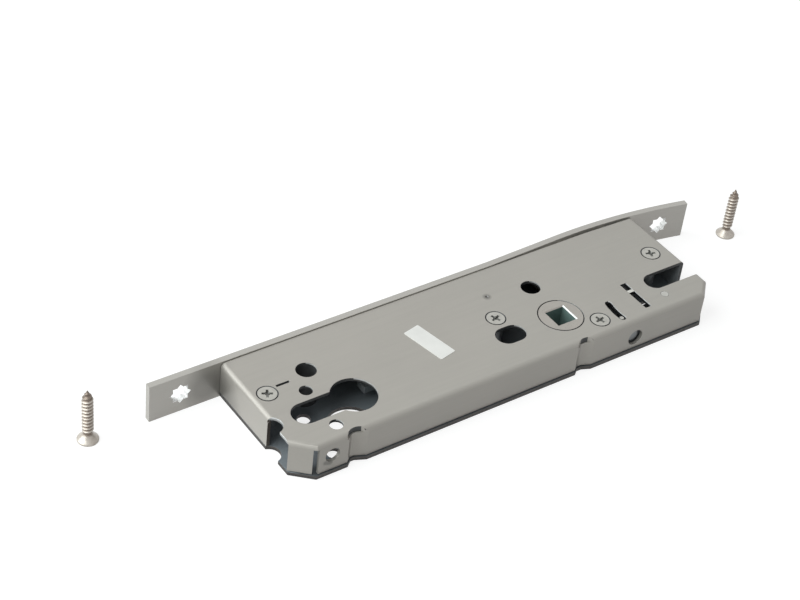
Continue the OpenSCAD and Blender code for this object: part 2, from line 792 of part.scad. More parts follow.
// The latch head, with its bevel facing up
module latch_bolt() {
    color(cast) difference() {
        translate([latch_axis - latch_w / 2, 0, 0]) rotate([90, 0, 90]) linear_extrude(latch_w)
            polygon([[latch_back, bolt_z], [latch_front, bolt_z], [latch_front, bolt_z + latch_tip],
                [latch_front - latch_bevel, bolt_z + bolt_t], [latch_back, bolt_z + bolt_t]]);
        translate([latch_axis, latch_back - cut, rod_z]) rotate([-90, 0, 0])
            cylinder(d = rod_d, h = rod_socket + cut);
        post(rod_pin_at, rod_pin_d, bolt_z - cut, bolt_t + 2 * cut);
    }
}

module latch_rod() {
    rod_back = near + rod_end_gap;
    chamfer = 0.4;
    color(bright) difference() {
        translate([latch_axis, rod_back, rod_z]) rotate([-90, 0, 0]) {
            cylinder(d1 = rod_d - 2 * chamfer, d2 = rod_d, h = chamfer);
            translate([0, 0, chamfer]) cylinder(d = rod_d, h = latch_back + rod_socket - rod_back - chamfer);
        }
        post(rod_pin_at, rod_pin_d, 0, case_t);
    }
}

module rod_pin() {
    color(bright) post(rod_pin_at, rod_pin_d, bolt_z + face_gap, bolt_t - 2 * face_gap);
}

// A round wire wound about the Y axis, with its faces as triangles
module coil(r, wire, turns, length, sides, steps) {
    n = turns * steps;
    slope = atan(length / (2 * PI * r * turns));
    points = [for (i = [0:n]) let (t = 360 * i / steps, out = [cos(t), 0, sin(t)],
        up = [sin(t) * sin(slope), cos(slope), -cos(t) * sin(slope)])
        for (k = [0:sides - 1]) let (a = 360 * k / sides)
            r * out + [0, length * i / n, 0] + wire / 2 * (cos(a) * out + sin(a) * up)];
    walls = [for (i = [0:n - 1]) for (k = [0:sides - 1])
        let (a = i * sides + k, b = i * sides + (k + 1) % sides, c = a + sides, d = b + sides)
        each [[a, b, c], [b, d, c]]];
    caps = [for (k = [1:sides - 2]) each [[0, k + 1, k], [n * sides, n * sides + k, n * sides + k + 1]]];
    polyhedron(points, concat(walls, caps), convexity = 10);
}

module latch_spring() {
    start = lug_y + lug_t + spring_wire / 2 + face_gap;
    length = latch_back - spring_wire / 2 - face_gap - start;
    echo(str("latch spring's least gap between turns: ", length / spring_turns - spring_wire, " mm"));
    color(spring_steel) translate([latch_axis, start, rod_z])
        coil((rod_d + spring_wire) / 2 + coil_gap, spring_wire, spring_turns, length, 6, 8);
}

module latch_guide() {
    x = slot_x - guide_t / 2;
    l = guide_y[1] - guide_y[0];
    tab_w = slot_w - face_gap;
    color(steel) {
        translate([x, guide_y[0], base_t]) cube([guide_t, l, inside_h]);
        translate([x + guide_t, guide_y[0], base_t]) cube([guide_foot, l, base_t]);
        translate([slot_x - tab_w / 2, guide_tab_y - guide_tab_l / 2, under_top])
            cube([tab_w, guide_tab_l, cover_t]);
    }
}

module swing_lever() {
    color(steel) translate([0, 0, arm_z]) linear_extrude(arm_t) difference() {
        union() {
            flat_bar(lever_at, lever_pin_at, lever_w);
            translate(lever_at) circle(lever_eye_r);
            translate(lever_pin_at) circle(lever_tip_r);
        }
        translate(lever_at) circle(d = pivot_d + 2 * turn_gap);
        translate(lever_pin_at) circle(d = lever_lower_d);
    }
}

// The lever's pin is thick down to the carriage and thin in the top plate's arc slot
module lever_pin() {
    low = carriage_z + face_gap;
    step = arm_z + arm_t;
    color(bright) {
        post(lever_pin_at, lever_lower_d, low, step - low);
        post(lever_pin_at, lever_pin_d, step - eps, case_t - 3 * face_gap - step);
    }
}

module lever_pivot() {
    color(bright) {
        post(lever_at, pivot_d, 0, under_top - face_gap);
        post(lever_at, pivot_collar_d, base_t, arm_z - face_gap - base_t);
        post(lever_at, pivot_head_d, under_top - face_gap - eps, cover_t + face_gap);
    }
}

module deadbolt() {
    color(cast) difference() {
        translate([dead_x, dead_back, bolt_z]) cube([dead_w, dead_l, bolt_t]);
        translate([dead_x - cut, dead_back - cut, tail_z])
            cube([dead_w + 2 * cut, tail_front - dead_back + cut, tail_t]);
        for (p = rivet_at) post(p, rivet_d, bolt_z - cut, bolt_t + 2 * cut);
    }
}

module deadbolt_tail() {
    color(steel) difference() {
        union() {
            translate([tail_left, tail_back, tail_z])
                cube([tail_right - tail_left, dead_back - 5 * face_gap - tail_back, tail_t]);
            translate([dead_x, tail_back, tail_z]) cube([dead_w, tail_front - tail_back, tail_t]);
        }
        translate([tail_left - cut, -cam_notch[1] / 2, 0]) cube([cam_notch[0] + cut, cam_notch[1], case_t]);
        for (p = stud_at) travel_slot(p, stud_d, dead_throw, case_t);
        for (y = [detent_y, detent_y - dead_throw]) translate([detent_x, y, 0])
            cylinder(r = detent_r + leaf_gap, h = case_t);
        for (p = rivet_at) post(p, rivet_d, 0, case_t);
    }
}

module deadbolt_rivets() {
    color(bright) for (p = rivet_at) post(p, rivet_d, bolt_z, bolt_t);
}

// A wood screw that stands on its head, with its thread as a row of ridges
module wood_screw(place) {
    head_r = fixing_head_d / 2;
    core_r = fixing_thread_d / 2 - thread_h;
    neck = fixing_rim + head_r - core_r;
    first = neck + thread_start;
    ridges = floor((fixing_l - first - thread_h) / thread_pitch);
    function core_at(z) = min(core_r, core_r * (fixing_l - z) / fixing_tip_l + fixing_tip_r);
    function ridge(z) = let (low = core_at(z), top = low + thread_h, middle = z + thread_pitch / 2)
        [[low, z], [top, middle - thread_crest], [top, middle + thread_crest],
            [core_at(z + thread_pitch), z + thread_pitch - eps]];
    thread = [for (i = [0:ridges - 1]) each ridge(first + i * thread_pitch)];
    outline = concat([[0, 0], [head_r, 0], [head_r, fixing_rim], [core_r, neck]], thread, [[0, fixing_l]]);
    color(bright) translate([place.x, place.y, forend_bottom]) difference() {
        rotate_extrude() polygon(outline);
        mirror([0, 0, 1]) crosshead(fixing_recess_w, fixing_recess_depth);
    }
}

module fixing_screw_left() {
    wood_screw(loose_left_at);
}

module fixing_screw_right() {
    wood_screw(loose_right_at);
}

base_plate();
case_tray();
forend();
forend_screws();
case_screws();
pillars();
label();
follower();
follower_spring();
drive_pin();
latch_carriage();
latch_bolt();
latch_rod();
rod_pin();
latch_spring();
latch_guide();
swing_lever();
lever_pin();
lever_pivot();
guide_studs();
deadbolt();
deadbolt_tail();
deadbolt_rivets();
detent_spring();
spring_posts();
plate_sleeve();
fixing_screw_left();
fixing_screw_right();
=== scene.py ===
import json
import math

import bmesh
import bpy
from mathutils import Matrix, Vector

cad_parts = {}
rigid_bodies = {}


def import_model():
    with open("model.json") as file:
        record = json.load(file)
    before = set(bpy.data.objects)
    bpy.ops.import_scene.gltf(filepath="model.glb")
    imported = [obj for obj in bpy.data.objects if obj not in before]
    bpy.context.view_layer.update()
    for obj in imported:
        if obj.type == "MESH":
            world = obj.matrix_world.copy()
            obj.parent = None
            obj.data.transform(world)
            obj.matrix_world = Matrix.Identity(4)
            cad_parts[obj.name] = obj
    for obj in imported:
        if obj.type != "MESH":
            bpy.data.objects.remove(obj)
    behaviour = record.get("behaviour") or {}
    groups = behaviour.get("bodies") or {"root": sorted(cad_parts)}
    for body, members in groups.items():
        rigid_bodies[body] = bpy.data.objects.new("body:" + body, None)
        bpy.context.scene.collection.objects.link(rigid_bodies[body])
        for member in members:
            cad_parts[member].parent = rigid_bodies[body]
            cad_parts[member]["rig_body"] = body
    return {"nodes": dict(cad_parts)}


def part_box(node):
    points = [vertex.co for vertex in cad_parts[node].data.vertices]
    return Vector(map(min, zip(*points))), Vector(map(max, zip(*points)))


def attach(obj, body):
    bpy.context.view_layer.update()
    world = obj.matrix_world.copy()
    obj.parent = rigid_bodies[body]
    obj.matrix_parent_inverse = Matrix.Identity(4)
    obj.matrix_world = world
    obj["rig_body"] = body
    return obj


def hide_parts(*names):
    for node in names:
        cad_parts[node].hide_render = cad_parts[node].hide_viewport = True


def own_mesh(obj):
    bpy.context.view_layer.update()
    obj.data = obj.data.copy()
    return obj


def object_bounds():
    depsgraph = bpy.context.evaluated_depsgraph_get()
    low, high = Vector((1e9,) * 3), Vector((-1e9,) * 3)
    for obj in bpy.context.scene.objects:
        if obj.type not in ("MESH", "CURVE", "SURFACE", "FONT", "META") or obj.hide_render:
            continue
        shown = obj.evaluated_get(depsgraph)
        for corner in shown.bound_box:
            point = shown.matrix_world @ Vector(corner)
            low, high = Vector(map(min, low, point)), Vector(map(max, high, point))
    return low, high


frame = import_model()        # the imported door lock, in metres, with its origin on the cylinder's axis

CAD_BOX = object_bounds()
MM = 0.001
PLATE_TOP = 15.0 * MM       # outer face of the cover
SHEET = 1.3 * MM            # thickness of the cover's sheet
BASE_SHEET = 1.5 * MM       # thickness of the back plate
LEFT_END = -32.5 * MM       # the case's left end
NEAR_WALL = -8 * MM         # what lies below this Y belongs to the near wall
CASE_MIDDLE = Vector((61 * MM, 10 * MM, 7.5 * MM))

# Places in mm: the case screws' heads, the follower's axis, the press mark, where the arc slot and the
# straight slot lie along the case, and the forend's two star-shaped holes
SCREW_HEADS = ((-26.2, 14.8), (69.3, 10.2), (103.7, -8.95), (147.3, 13.5))
FOLLOWER_AT = (92.0, 0.0)
PRESS_MARK_AT = (73.8, 21.8)
SLOTS_X = (112.0, 132.0)
STAR_HOLES_X = (-48.4, 170.1)
STAR_HOLES_Z = 7.5

# Rounding of edges, in mm
SHEET_EDGE = 0.16
STRIP_EDGE = 0.22
SMALL_EDGE = 0.12
FOLLOWER_EDGE = 0.2
SCREW_EDGE = 0.22
BOLT_EDGE = 0.35
SPRING_EDGE = 0.06
LABEL_CORNER = 0.5

# Limits for sorting faces and edges
MERGE = 0.002 * MM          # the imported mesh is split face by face, and this joins it again
HAIR = 0.02 * MM            # room for rounding where heights are compared
FLAT_ANGLE = 0.3            # faces that meet at less than this, in degrees, lie in one plane
EDGE_ANGLE = 25             # edges sharper than this, in degrees, get rounded
UPRIGHT = 0.1               # a face whose normal has less Z than this is upright
FACING = 0.9                # a face whose normal has more than this along an axis faces that way
ROUNDED = 0.97              # a face on a rounded rim has less Z than this
CAD_SMOOTH = 35             # edges sharper than this, in degrees, stay sharp on dressed CAD nodes
TURNED_SMOOTH = 50          # and on turned and wound pieces


def linear(r, g, b):
    """The linear colour of an sRGB one that is given from 0 to 255."""
    parts = [c / 255 for c in (r, g, b)]
    return tuple(c / 12.92 if c < 0.04045 else ((c + 0.055) / 1.055) ** 2.4 for c in parts) + (1.0,)


def shade(colour, share):
    """The same colour, darker or lighter."""
    return tuple(min(1.0, c * share) for c in colour[:3]) + (1.0,)


class Finish:
    """A material whose colour, roughness and bump come from noise in the object's own coordinates."""

    def __init__(self, name, metallic):
        self.material = bpy.data.materials.new(name)
        self.material.use_nodes = True
        self.tree = self.material.node_tree
        self.shader = self.tree.nodes["Principled BSDF"]
        self.shader.inputs["Metallic"].default_value = metallic
        self.coords = self.new("ShaderNodeTexCoord").outputs["Object"]

    def new(self, kind, **settings):
        node = self.tree.nodes.new(kind)
        for key, value in settings.items():
            setattr(node, key, value)
        return node

    def link(self, a, b):
        self.tree.links.new(a, b)

    def noise(self, scale, detail=2.0, rough=0.5, stretch=(1, 1, 1), offset=(0, 0, 0)):
        """Noise whose features are about 1 / scale metres across, divided by stretch."""
        move = self.new("ShaderNodeMapping")
        move.inputs["Scale"].default_value = stretch
        move.inputs["Location"].default_value = offset
        self.link(self.coords, move.inputs["Vector"])
        node = self.new("ShaderNodeTexNoise")
        node.inputs["Scale"].default_value = scale
        node.inputs["Detail"].default_value = detail
        node.inputs["Roughness"].default_value = rough
        self.link(move.outputs["Vector"], node.inputs["Vector"])
        return node.outputs["Fac"]

    def ramp(self, value, low, high, a, b):
        """Colour a below low and colour b above high."""
        node = self.new("ShaderNodeValToRGB")
        for stop, place, colour in zip(node.color_ramp.elements, (low, high), (a, b)):
            stop.position = place
            stop.color = colour
        self.link(value, node.inputs["Fac"])
        return node.outputs["Color"]

    def span(self, value, low, high, a, b):
        """Number a below low and b above high."""
        node = self.new("ShaderNodeMapRange")
        for key, number in zip(("From Min", "From Max", "To Min", "To Max"), (low, high, a, b)):
            node.inputs[key].default_value = number
        self.link(value, node.inputs["Value"])
        return node.outputs["Result"]

    def mix(self, share, a, b, kind="MIX"):
        node = self.new("ShaderNodeMix", data_type="RGBA", blend_type=kind)
        for key, value in zip(("Factor", "A", "B"), (share, a, b)):
            socket = [s for s in node.inputs if s.name == key and s.enabled][0]
            if isinstance(value, bpy.types.NodeSocket):
                self.link(value, socket)
            else:
                socket.default_value = value
        return [s for s in node.outputs if s.enabled][0]

    def near(self, place, size):
        """1 at a place, falling to 0 at the distance size from it, in metres."""
        away = self.new("ShaderNodeVectorMath", operation="DISTANCE")
        away.inputs[1].default_value = place
        self.link(self.coords, away.inputs[0])
        return self.span(away.outputs["Value"], 0.4 * size, size, 1.0, 0.0)

    def height(self, axis="Z"):
        parts = self.new("ShaderNodeSeparateXYZ")
        self.link(self.coords, parts.inputs["Vector"])
        return parts.outputs[axis]

    def bump(self, value, depth, share=1.0, after=None):
        node = self.new("ShaderNodeBump")
        node.inputs["Distance"].default_value = depth
        node.inputs["Strength"].default_value = share
        self.link(value, node.inputs["Height"])
        if after is not None:
            self.link(after, node.inputs["Normal"])
        return node.outputs["Normal"]

    def finish(self, colour, rough, normal=None):
        self.link(colour, self.shader.inputs["Base Color"])
        self.link(rough, self.shader.inputs["Roughness"])
        if normal is not None:
            self.link(normal, self.shader.inputs["Normal"])
        return self.material


def rolled(name, colour, metallic, rough, grain=(30, 900, 900), tint=None, marks=(), painted_shade_below=None):
    """Rolled sheet or drawn metal: fine grain along X, soft cloudy patches and faint scuffs.

    marks are darker spots, smudges and painted shade, and the last argument is the place across the case, in
    mm, below which painted shade makes it dark.
    """
    f = Finish(name, metallic)
    cloud = f.noise(32, 3.0, 0.55)
    drift = f.noise(9, 2.0, 0.5, offset=(3.1, 1.7, 0.4))
    fine = f.noise(1.0, 3.0, 0.6, stretch=grain)
    speck = f.noise(1400, 2.0, 0.6)
    base = f.ramp(cloud, 0.3, 0.7, shade(colour, 0.965), shade(colour, 1.03))
    base = f.mix(f.span(drift, 0.35, 0.65, 0.0, 0.55), base, tint or shade(colour, 0.98))
    base = f.mix(0.55, base, f.ramp(fine, 0.3, 0.7, (0.92, 0.92, 0.92, 1), (1.0, 1.0, 1.0, 1)), "MULTIPLY")
    scuff = f.noise(1.0, 4.0, 0.7, stretch=(150, 420, 150), offset=(5, 2, 1))
    base = f.mix(f.span(scuff, 0.66, 0.74, 0.0, 0.35), base, shade(colour, 1.12))
    # Darker spots: smudges, and painted shade
    for place, size, dark in marks:
        base = f.mix(f.near([c * MM for c in place], size * MM), base, shade(colour, dark))
    # Painted shade: darker below the given place across the case
    if painted_shade_below is not None:
        edge = f.span(f.height("Y"), (painted_shade_below - 2) * MM, painted_shade_below * MM, 1.0, 0.0)
        base = f.mix(edge, base, shade(colour, 0.4))
    turn = f.span(fine, 0.25, 0.75, rough - 0.04, rough + 0.05)
    normal = f.bump(fine, 0.004 * MM, 0.5)
    normal = f.bump(speck, 0.003 * MM, 0.35, after=normal)
    return f.finish(base, turn, normal)


def sheared(name, bright, dark, metallic, rough, low, high):
    """The cut edge of a sheet: lighter near one face, darker with torn streaks towards the other; on the
    cover, painted highlight and painted shade.
    """
    f = Finish(name, metallic)
    torn = f.noise(1.0, 3.0, 0.6, stretch=(900, 900, 260))
    level = f.span(f.height(), low, high, 0.0, 1.0)
    base = f.ramp(level, 0.5, 0.72, dark, bright)
    base = f.mix(f.span(torn, 0.35, 0.7, 0.0, 0.4), base, shade(dark, 0.8))
    return f.finish(base, f.span(torn, 0.3, 0.7, rough - 0.06, rough + 0.1), f.bump(torn, 0.02 * MM, 0.5))


def cast(name, colour, metallic, rough):
    """A satin casting: fine orange peel, cloudy tone and small dark pores."""
    f = Finish(name, metallic)
    cloud = f.noise(160, 3.0, 0.6)
    pores = f.noise(1900, 1.0, 0.4)
    base = f.ramp(cloud, 0.3, 0.7, shade(colour, 0.94), shade(colour, 1.05))
    base = f.mix(f.span(pores, 0.68, 0.76, 0.0, 0.5), base, shade(colour, 0.5))
    return f.finish(base, f.span(cloud, 0.3, 0.7, rough - 0.04, rough + 0.06), f.bump(pores, 0.006 * MM, 0.5))


def plated(name, colour, metallic, rough):
    """Bright plated or drawn parts: even, with fine turning marks and a few dull spots."""
    f = Finish(name, metallic)
    rings = f.noise(1.0, 2.0, 0.5, stretch=(500, 500, 2600))
    dull = f.noise(420, 3.0, 0.6, offset=(2, 9, 4))
    base = f.ramp(dull, 0.35, 0.7, colour, shade(colour, 0.86))
    return f.finish(base, f.span(dull, 0.35, 0.7, rough - 0.05, rough + 0.1), f.bump(rings, 0.004 * MM, 0.5))


def paper(name, colour):
    """A matt sticker, with paper fibre and slightly greyed patches."""
    f = Finish(name, 0.0)
    fibre = f.noise(1.0, 4.0, 0.7, stretch=(1500, 2600, 1500))
    grey = f.noise(140, 2.0, 0.5)
    base = f.ramp(grey, 0.35, 0.75, colour, shade(colour, 0.93))
    base = f.mix(f.span(fibre, 0.6, 0.8, 0.0, 0.3), base, shade(colour, 0.9))
    return f.finish(base, f.span(fibre, 0.3, 0.7, 0.6, 0.75), f.bump(fibre, 0.01 * MM, 0.4))


ZINC = linear(176, 173, 166)
ZINC_TINT = linear(177, 172, 165)
# Darker spots on the sheet: place, size in mm, and what share of its tone is left. One is painted shade round
# the press mark, three make the streak under the near wall's left hole, and the last is painted shadow on the
# left wall's far end.
SMUDGE_AND_SHADE_SPOTS = ((PRESS_MARK_AT + (15.0,), 2.0, 0.5),
         ((-21.3, -16.2, 5.7), 1.3, 0.55), ((-20.3, -16.2, 5.3), 1.3, 0.55), ((-19.3, -16.2, 4.9), 1.3, 0.55),
         ((-37.0, 38.0, 0.0), 18.0, 0.5))
# Painted shade on the forend's inner face beside the case's left end: place, size in mm, and share of tone
# left
FOREND_PAINTED_SHADE = (((-38.0, 36.0, 7.0), 11.0, 0.6),)
MATERIALS = {
    "zinc_plate": rolled("zinc_sheet", ZINC, 0.3, 0.4, tint=ZINC_TINT, marks=SMUDGE_AND_SHADE_SPOTS),
    "forend_steel": rolled("forend_brushed", linear(188, 185, 179), 0.4, 0.36, grain=(14, 1500, 1500),
                           marks=FOREND_PAINTED_SHADE),
    "inner_steel": rolled("inner_steel", linear(146, 150, 152), 0.45, 0.45),
    "bright_zinc": plated("bright_zinc", linear(193, 191, 184), 0.45, 0.32),
    "cast_zinc": cast("cast_zinc", linear(177, 172, 165), 0.35, 0.4),
    "spring_steel": plated("spring_steel", linear(105, 108, 116), 0.85, 0.28),
    "label": paper("label_paper", linear(248, 247, 243)),
}
# The cover's cut edges: a painted highlight along the top and painted shade below it
CUT_EDGE_LIGHT_AND_SHADE = sheared("cover_cut_edge_painted_light", linear(226, 228, 227), linear(62, 63, 63), 0.35, 0.4,
                   PLATE_TOP - SHEET, PLATE_TOP)
RIM_LIGHT_AND_SHADE = sheared("cover_outer_edge_painted_light", linear(238, 241, 241), linear(158, 160, 160), 0.3, 0.4,
              PLATE_TOP - SHEET, PLATE_TOP)
SLOT_WALL_LIGHT_AND_SHADE = sheared("slot_wall_painted_light", linear(247, 249, 249), linear(26, 26, 27), 0.2, 0.45,
                    PLATE_TOP - 0.7 * SHEET, PLATE_TOP)
WALL_END = cast("wall_end", linear(74, 67, 60), 0.3, 0.55)
INSIDE = rolled("inside_of_sheet", linear(158, 163, 165), 0.2, 0.5)
# The back plate's inner face, with painted shade outside the near wall, below -11 mm across the case
BASE_INNER = rolled("back_plate_inside", linear(132, 139, 144), 0.2, 0.5, painted_shade_below=-11)
SHADED_EDGE = cast("shaded_edge", linear(64, 66, 67), 0.2, 0.55)
# Painted shade on the case screws' rounded rims
SCREW_RIM_SHADE = cast("screw_rim", linear(112, 113, 112), 0.4, 0.45)
# Painted shade: a dark finish for the sleeve and the rivet's sides, which lie in shade
SLEEVE_SHADE = cast("sleeve", linear(66, 67, 68), 0.3, 0.5)
# Painted shade: a near-black finish for the lever, the latch guide's sides and the follower's arm and rim,
# which lie in shade
SHADE_STEEL = cast("steel_painted_shade", linear(30, 30, 31), 0.3, 0.5)
SQUARE_WALL = cast("square_wall", linear(106, 128, 124), 0.2, 0.5)
# Painted highlight on the follower's lip, on the faces turned to the lamp
SQUARE_LIP_HIGHLIGHT = cast("square_lip_painted_highlight", linear(246, 248, 248), 0.1, 0.4)
# Painted shade in the case screws' crosshead recesses
RECESS_SHADE = cast("crosshead_recess_painted_shade", linear(150, 150, 146), 0.4, 0.45)
# Painted light: the star-shaped holes' walls are near white
STAR_WALL_LIGHT = cast("star_wall_painted_light", linear(251, 251, 249), 0.1, 0.45)
RIVET_HEAD = plated("rivet_head", linear(204, 203, 197), 0.4, 0.4)
TOP_FACE = plated("bright_top_face", linear(222, 221, 214), 0.35, 0.34)
BASE_EDGE = sheared("back_plate_edge", linear(86, 82, 79), linear(60, 58, 57), 0.4, 0.5,
                    0.0, BASE_SHEET)
# Painted shade in the press mark's hollow
PRESS_MARK_SHADE = cast("press_mark_painted_shade", linear(112, 108, 104), 0.5, 0.5)


def new_piece(name, mesh, body, slot, *replaced):
    """A piece that rides on a body, takes a slot's finish and stands for CAD nodes."""
    piece = bpy.data.objects.new(name, mesh)
    bpy.context.scene.collection.objects.link(piece)
    if not mesh.materials:
        mesh.materials.append(MATERIALS[slot])
    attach(piece, body)
    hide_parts(*replaced)
    return piece


def soft_shade(mesh, angle):
    mesh.shade_smooth()
    mesh.set_sharp_from_angle(angle=math.radians(angle))


def even_normals(piece):
    """Flat faces stay flat beside the rounded edges."""
    weigh = piece.modifiers.new("even_normals", "WEIGHTED_NORMAL")
    weigh.keep_sharp = True


def dress(node, slot, radius, steps=2, extra=(), pick=None, late=None, edge_rule=None, join=True):
    """Stands a copy of a CAD node in its place, with its sharp edges rounded by radius, in mm.

    pick gives each face the number of its finish: 0 for the slot's own, and from 1 on those of extra.
    late does so once more after the rounding, for the faces that it doesn't answer with None.
    edge_rule says which sharp edges are rounded, and join makes one face of triangles in a plane.
    """
    source = frame["nodes"][node]
    mesh = source.data.copy()
    mesh.materials.clear()
    for attribute in ("custom_normal", "sharp_edge", "sharp_face"):
        if attribute in mesh.attributes:
            mesh.attributes.remove(mesh.attributes[attribute])
    shape = bmesh.new()
    shape.from_mesh(mesh)
    bmesh.ops.remove_doubles(shape, verts=shape.verts, dist=MERGE)
    bmesh.ops.dissolve_degenerate(shape, edges=shape.edges, dist=MERGE)
    if join:
        bmesh.ops.dissolve_limit(shape, angle_limit=math.radians(FLAT_ANGLE), verts=shape.verts,
                                 edges=shape.edges)
    shape.normal_update()
    if pick:
        for face in shape.faces:
            face.material_index = pick(face)
    sharp = [e for e in shape.edges if len(e.link_faces) == 2 and e.is_convex
             and e.calc_face_angle() > math.radians(EDGE_ANGLE) and (not edge_rule or edge_rule(e))]
    bmesh.ops.bevel(shape, geom=sharp, offset=radius * MM, offset_type="OFFSET", segments=steps,
                    profile=0.5, affect="EDGES", clamp_overlap=True, material=-1)
    if late:
        shape.normal_update()
        for face in shape.faces:
            choice = late(face)
            if choice is not None:
                face.material_index = choice
    shape.to_mesh(mesh)
    shape.free()
    mesh.materials.append(MATERIALS[slot])
    for material in extra:
        mesh.materials.append(material)
    soft_shade(mesh, CAD_SMOOTH)
    even_normals(new_piece(node + "_finished", mesh, source["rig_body"], slot, node))


def off_axis(point, places):
    """Distance in mm, seen from above, to the nearest of some places."""
    return min(math.hypot(point.x / MM - x, point.y / MM - y) for x, y in places)


# The numbers of the cover's finishes, in the order in which dress gets them. 0 is the sheet's outside.
TRAY_FINISHES = (CUT_EDGE_LIGHT_AND_SHADE, PRESS_MARK_SHADE, RIM_LIGHT_AND_SHADE, INSIDE, WALL_END, SHADED_EDGE, SLOT_WALL_LIGHT_AND_SHADE)
ON_CUT_EDGE_LIGHT_AND_SHADE, ON_PRESS_MARK, ON_RIM_LIGHT_AND_SHADE, ON_INSIDE, ON_WALL_END, ON_SHADED_EDGE, ON_SLOT_WALL_LIGHT_AND_SHADE = range(1, 8)
LEFT_RIM = 4 * MM           # how far in from the left end the plate's outer edge and its bite reach
JOGGLE_REACH = 8 * MM       # the right joggle, to either side of the follower's axis
TO_THE_LAMP = -0.55         # a cut edge whose normal has less X than this faces the lamp
TO_THE_FRONT = -0.3         # a slit's wall whose normal has less Y than this shows from the front
SLIT_DEPTH = 0.05 * MM      # how far under the plate's outer face a slit's wall may end
NOTCH_X = 130 * MM          # where the notch in the right end begins
NOTCH_FAR = 10 * MM         # and how far across the case it may reach
MARK_DEPTH = 0.1 * MM       # the floor of the press mark lies at least this deep
MARK_R = 2                  # in mm


def plate_edge(n, c):
    """The finish of a cut edge of the top plate, from its normal and its middle: the left rim and the edges
    turned to the lamp take a painted highlight along the top with painted shade below, the others painted
    shade.
    """
    if c.x < LEFT_END + LEFT_RIM:
        return ON_RIM_LIGHT_AND_SHADE
    beside_joggle = c.y < NEAR_WALL and abs(c.x - FOLLOWER_AT[0] * MM) < JOGGLE_REACH
    if n.x > TO_THE_LAMP or beside_joggle:
        return ON_SHADED_EDGE
    return ON_SLOT_WALL_LIGHT_AND_SHADE if SLOTS_X[0] < c.x / MM < SLOTS_X[1] else ON_CUT_EDGE_LIGHT_AND_SHADE


def tray_part(face):
    """Which of the cover's finishes a face takes."""
    n, c = face.normal, face.calc_center_median()
    upright = abs(n.z) < UPRIGHT
    bottom, top = min(v.co.z for v in face.verts), max(v.co.z for v in face.verts)
    if upright and bottom > PLATE_TOP - SHEET - HAIR:
        return plate_edge(n, c)
    slit = c.y < NEAR_WALL and n.y < TO_THE_FRONT and top > PLATE_TOP - SLIT_DEPTH
    notch = c.x > NOTCH_X and n.y < -FACING and 0 < c.y < NOTCH_FAR
    if upright and (slit or notch):
        return ON_SHADED_EDGE
    if n.z < -FACING and c.z < PLATE_TOP - 0.5 * SHEET:
        return ON_INSIDE
    if n.y < -FACING and c.x < LEFT_END + 2 * SHEET and c.y > 0:
        return ON_WALL_END
    turned_in = n.y > UPRIGHT if c.y < NEAR_WALL else (c - CASE_MIDDLE).dot(n) < 0
    if upright and top < PLATE_TOP - SHEET + HAIR and turned_in:
        return ON_INSIDE
    # The press mark's floor takes its painted shade
    sunk = n.z > FACING and c.z < PLATE_TOP - MARK_DEPTH
    return ON_PRESS_MARK if sunk and off_axis(c, (PRESS_MARK_AT,)) < MARK_R else 0


# Case screws, in mm from a screw's axis: the crosshead's reach, the head's rim and the countersink
RECESS_R = 2.3
RIM_R = 3.2
RIM_EDGES_R = 3.0
COUNTERSINK_R = 4.3
COUNTERSINK_TILT = 0.95     # a countersink's face has less Z than this
RECESS_DEPTH = 0.6 * MM     # faces in the crosshead that lie deeper than this take its painted shade too


def tray_ring(face):
    """Painted shade on the countersinks round the case screws, which look dark."""
    n, c = face.normal, face.calc_center_median()
    tilted = c.z > PLATE_TOP - SHEET and n.z < COUNTERSINK_TILT
    return ON_SHADED_EDGE if tilted and off_axis(c, SCREW_HEADS) < COUNTERSINK_R else None


def screw_part(face):
    """1 for painted shade in the crosshead recess of a case screw, 2 for painted shade on the head's rounded
    rim, 0 for the rest.
    """
    n, c = face.normal, face.calc_center_median()
    away = off_axis(c, SCREW_HEADS)
    if away < RECESS_R and (n.z < FACING or c.z < PLATE_TOP - RECESS_DEPTH):
        return 1
    return 2 if away > RIM_R and n.z < ROUNDED else 0


def on_screw_rim(edge):
    """Only the rim of a screw's head is rounded, because the recess is too small for it."""
    return off_axis(edge.verts[0].co, SCREW_HEADS) > RIM_EDGES_R


# Follower, in mm from its axis: the square's reach, the rim of its ends and its arm
SQUARE_REACH = 6.3
END_RIM = 8.3
ARM_FROM = 10.5
LIP_SIDE = -0.3             # the painted highlight goes on lip faces whose normal has less X than this


def follower_part(face):
    """1 for the walls of the follower's square, 2 for a painted highlight on the lip at its mouths, 3 for
    painted shade on its arm and on the rounded rim of its ends, 0 for the rest."""
    n, c = face.normal, face.calc_center_median()
    away = off_axis(c, (FOLLOWER_AT,))
    if away > ARM_FROM or away > END_RIM and n.z < ROUNDED:
        return 3
    if away > SQUARE_REACH or abs(n.z) > FACING:
        return 0
    if abs(n.z) < UPRIGHT:
        return 1
    return 2 if n.x < LIP_SIDE else 0


STAR_REACH = 5              # in mm from a star-shaped hole's middle
STAR_WALL_TILT = 0.5        # a hole's wall has less Y than this


def forend_part(face):
    """1 for the walls of the star-shaped holes, painted near white as light, 0 for the rest."""
    c = face.calc_center_median()
    away = min(math.hypot(c.x / MM - x, c.z / MM - STAR_HOLES_Z) for x in STAR_HOLES_X)
    return 1 if away < STAR_REACH and abs(face.normal.y) < STAR_WALL_TILT else 0


def base_part(face):
    """1 for the back plate's cut edges, 2 for its inner face, 0 for the rest."""
    if max(v.co.z for v in face.verts) > BASE_SHEET + HAIR:
        return 0
    if face.normal.z > FACING:
        return 2
    return 1 if abs(face.normal.z) < UPRIGHT else 0


LEVEL = 0.98                # a level face's normal has more Z than this


